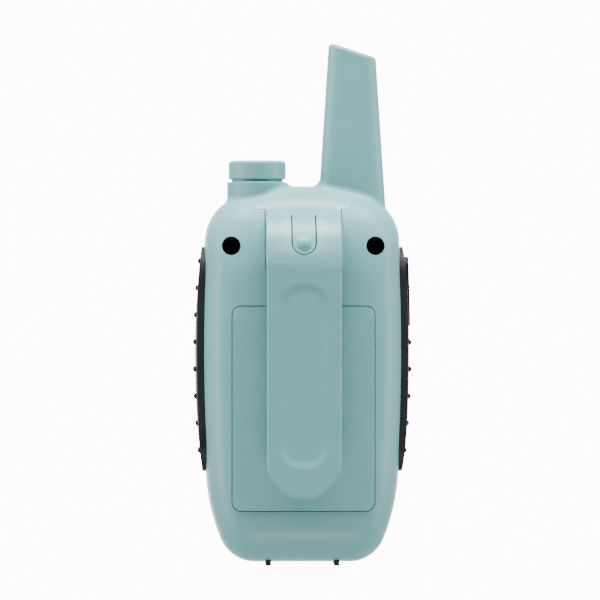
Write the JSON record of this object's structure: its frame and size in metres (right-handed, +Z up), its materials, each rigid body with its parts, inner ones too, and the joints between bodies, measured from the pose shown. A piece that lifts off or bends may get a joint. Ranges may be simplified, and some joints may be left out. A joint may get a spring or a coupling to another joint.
{
  "type": "two-way radio",
  "caption": "Handheld two-way radio with a moulded stub antenna, volume knob, rubber side grips, talk button, battery door and a slide-off spring belt clip.",
  "frame": {"origin": "on the surface the radio stands on, midway between its two foot ribs, in the plane where the two shells meet", "axes": "+Z up along the case and the antenna, +Y out of the back with the belt clip, -Y out of the front with the display"},
  "size_m": [0.0566, 0.0367, 0.1348],
  "materials": {
    "case_plastic": "moulded, fine satin texture",
    "clip_plastic": "moulded, satin",
    "grip_rubber": "matte",
    "foot_rubber": "matte",
    "key_plastic": "satin",
    "screen_lens": "polished",
    "screen_glass": "polished",
    "white_plastic": "matte",
    "silicone": "matte",
    "board_laminate": "solder mask",
    "tinned_steel": "tinned",
    "magnet": "plain",
    "paper": "pressed paper",
    "cloth": "woven dust cloth",
    "copper": "enamelled wire",
    "black_plastic": "matte",
    "cell_sleeve": "shrink sleeve over a metal can",
    "screw_steel": "black oxide"
  },
  "bodies": {
    "case": {"rear_shell": "case_plastic", "front_shell": "case_plastic", "right_grip": "grip_rubber", "left_grip": "grip_rubber", "display_lens": "screen_lens", "base_feet": "foot_rubber", "lcd_panel": "screen_glass", "lcd_backlight": "white_plastic", "keypad_membrane": "silicone", "circuit_board": "board_laminate", "rf_shield": "tinned_steel", "speaker_basket": "tinned_steel", "speaker_magnet": "magnet", "speaker_cone": "paper", "speaker_cloth": "cloth", "microphone": "tinned_steel", "antenna_coil": "copper", "volume_control": "black_plastic", "ptt_switch": "black_plastic", "battery_cell_1": "cell_sleeve", "battery_cell_2": "cell_sleeve", "battery_cell_3": "cell_sleeve", "battery_contacts": "tinned_steel", "battery_springs": "tinned_steel", "case_screws": "screw_steel", "board_screws": "screw_steel"},
    "knob": {"volume_knob": "case_plastic", "volume_shaft": "black_plastic"},
    "talk_button": {"ptt_button": "grip_rubber"},
    "clip": {"belt_clip_head": "clip_plastic"},
    "clip_arm": {"belt_clip_arm": "clip_plastic"},
    "clip_tongue": {"clip_release_tongue": "clip_plastic"},
    "door": {"battery_door": "case_plastic"},
    "channel_up_button": {"channel_up_key": "key_plastic"},
    "channel_down_button": {"channel_down_key": "key_plastic"},
    "menu_button": {"menu_key": "key_plastic"},
    "call_button": {"call_key": "key_plastic"},
    "monitor_button": {"monitor_key": "key_plastic"}
  },
  "joints": [
    {"name": "knob_turn", "type": "hinge", "parent": "case", "child": "knob", "pos_m": [0.0116, 0, 0.1], "axis": [0, 0, -1], "range_deg": [0, 280]},
    {"name": "talk_press", "type": "slide", "parent": "case", "child": "talk_button", "axis": [1, 0, 0], "range_m": [0, 0.001], "stiffness_N_per_m": 1500},
    {"name": "clip_slide", "type": "slide", "parent": "case", "child": "clip", "axis": [0, 0, 1], "range_m": [0, 0.082]},
    {"name": "clip_arm_flex", "type": "hinge", "parent": "clip", "child": "clip_arm", "pos_m": [0, 0.0215, 0.077], "axis": [1, 0, 0], "range_deg": [0, 6], "stiffness_Nm_per_rad": 0.3},
    {"name": "clip_tongue_flex", "type": "hinge", "parent": "clip", "child": "clip_tongue", "pos_m": [0, 0.01486, 0.0902], "axis": [-1, 0, 0], "range_deg": [0, 6], "stiffness_Nm_per_rad": 0.05},
    {"name": "door_tilt", "type": "hinge", "parent": "case", "child": "door", "pos_m": [0, 0.015, 0.0145], "axis": [-1, 0, 0], "range_deg": [0, 5]},
    {"name": "channel_up_key_press", "type": "slide", "parent": "case", "child": "channel_up_button", "axis": [0, 1, 0], "range_m": [0, 0.0006], "stiffness_N_per_m": 800},
    {"name": "channel_down_key_press", "type": "slide", "parent": "case", "child": "channel_down_button", "axis": [0, 1, 0], "range_m": [0, 0.0006], "stiffness_N_per_m": 800},
    {"name": "menu_key_press", "type": "slide", "parent": "case", "child": "menu_button", "axis": [0, 1, 0], "range_m": [0, 0.0006], "stiffness_N_per_m": 800},
    {"name": "call_key_press", "type": "slide", "parent": "case", "child": "call_button", "axis": [0, 1, 0], "range_m": [0, 0.0006], "stiffness_N_per_m": 800},
    {"name": "monitor_key_press", "type": "slide", "parent": "case", "child": "monitor_button", "axis": [0, 1, 0], "range_m": [0, 0.0006], "stiffness_N_per_m": 800}
  ]
}
